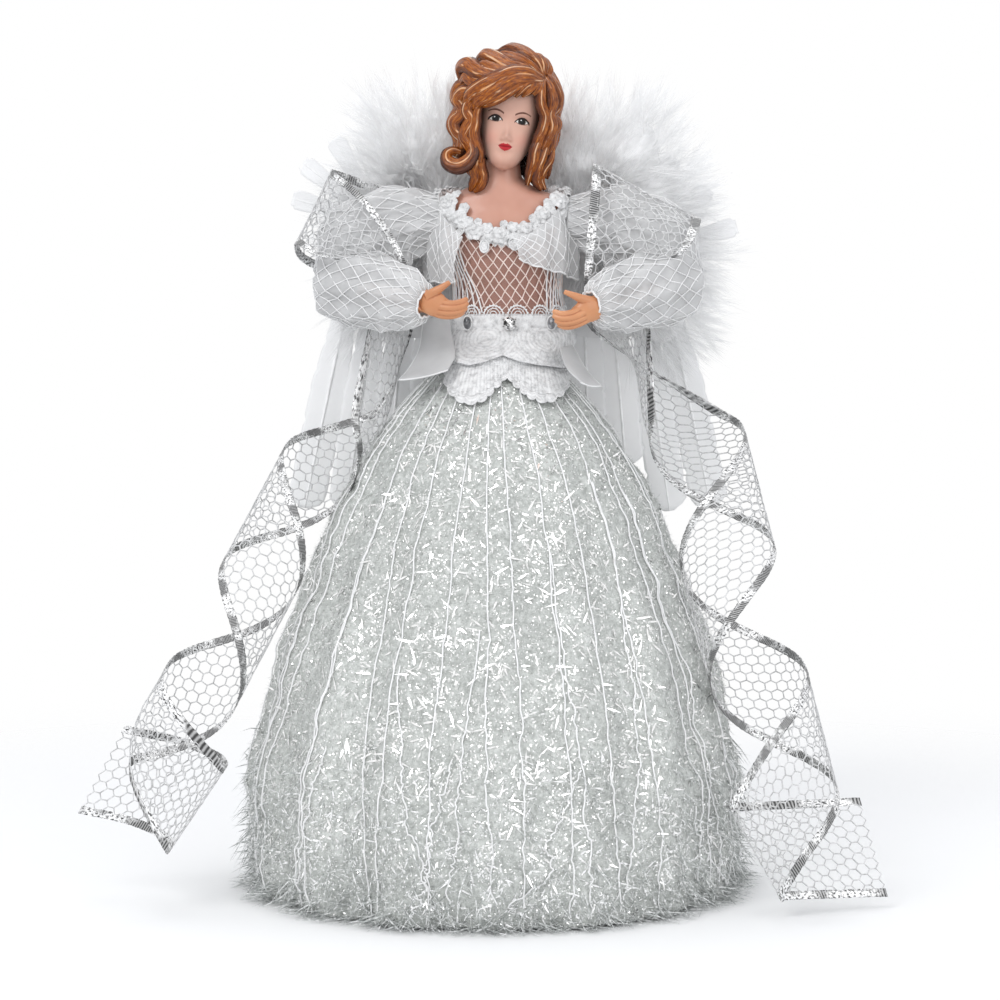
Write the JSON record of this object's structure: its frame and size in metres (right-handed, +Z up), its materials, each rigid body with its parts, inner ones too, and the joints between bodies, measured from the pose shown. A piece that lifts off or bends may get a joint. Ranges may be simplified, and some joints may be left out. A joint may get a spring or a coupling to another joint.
{
  "type": "tree topper",
  "caption": "Angel doll tree topper: a tinsel bell skirt over a cone that slips on a tree's tip, with feather wings, net sleeves and curling net ribbons.",
  "frame": {"origin": "on the floor plane that the skirt's rim stands on, in the middle of the box round the whole object", "axes": "+Z up through the doll, -Y towards the front that the doll faces, +X to the right seen from the front"},
  "size_m": [0.2832, 0.1712, 0.3002],
  "materials": {
    "cone_board": "plain white card, matt, a little fibrous",
    "lining_cloth": "plain white non-woven cloth, matt",
    "tinsel": "silvery white tinsel pile with bright flakes and white yarn lines",
    "moulded_skin": "moulded doll skin, satin, painted eyes, brows and lips",
    "moulded_hand": "moulded tan skin, satin",
    "moulded_hair": "moulded auburn hair, glossy paint darker in the grooves",
    "net": "soft white diamond net",
    "lace": "white satin-stitch embroidery",
    "satin": "white satin",
    "clear_stone": "clear faceted stone with a bright back",
    "smoke_stone": "domed smoke-grey stone, high gloss",
    "stone_cup": "thin silver-coloured metal cup",
    "wire": "soft bent steel wire",
    "ribbon_net": "sheer white hexagonal net",
    "foil_edge": "crinkled silver foil over a wire, bright",
    "feather_card": "plain white card, matt",
    "down": "white marabou down, soft and matt",
    "quill": "flat white feathers with a pale shaft"
  },
  "bodies": {
    "root": {"topper_cone": "cone_board", "underskirt": "lining_cloth", "tinsel_skirt": "tinsel", "bust": "moulded_skin", "head": "moulded_skin", "hair": "moulded_hair", "bodice_net": "net", "neckline_flowers": "lace", "waist_belt": "satin", "centre_rhinestone": "clear_stone", "peplum": "lace", "wing_pad": "lining_cloth", "left_stone_cup": "stone_cup", "right_stone_cup": "stone_cup", "centre_stone_cup": "stone_cup", "left_smoke_stone": "smoke_stone", "left_shoulder_cape": "net", "left_lace_lobe": "lace", "left_satin_petal": "satin", "left_wing_card": "feather_card", "left_wing_down": "down", "left_quill_1": "quill", "left_quill_2": "quill", "left_quill_3": "quill", "left_quill_4": "quill", "left_tip_feather_1": "quill", "left_tip_feather_2": "quill", "left_tip_feather_3": "quill", "right_smoke_stone": "smoke_stone", "right_shoulder_cape": "net", "right_lace_lobe": "lace", "right_satin_petal": "satin", "right_wing_card": "feather_card", "right_wing_down": "down", "right_quill_1": "quill", "right_quill_2": "quill", "right_quill_3": "quill", "right_quill_4": "quill", "right_tip_feather_1": "quill", "right_tip_feather_2": "quill", "right_tip_feather_3": "quill"},
    "left_arm": {"left_arm_wire": "wire", "left_hand": "moulded_hand", "left_sleeve": "net", "left_ribbon_net": "ribbon_net", "left_ribbon_inner_edge": "foil_edge", "left_ribbon_outer_edge": "foil_edge"},
    "right_arm": {"right_arm_wire": "wire", "right_hand": "moulded_hand", "right_sleeve": "net", "right_ribbon_net": "ribbon_net", "right_ribbon_inner_edge": "foil_edge", "right_ribbon_outer_edge": "foil_edge"}
  },
  "joints": [
    {"name": "left_arm_hinge", "type": "hinge", "parent": "root", "child": "left_arm", "pos_m": [-0.012, 0, 0.24], "axis": [0, 1, 0], "range_deg": [0, 15]},
    {"name": "right_arm_hinge", "type": "hinge", "parent": "root", "child": "right_arm", "pos_m": [0.033, 0, 0.24], "axis": [0, -1, 0], "range_deg": [0, 15]}
  ]
}
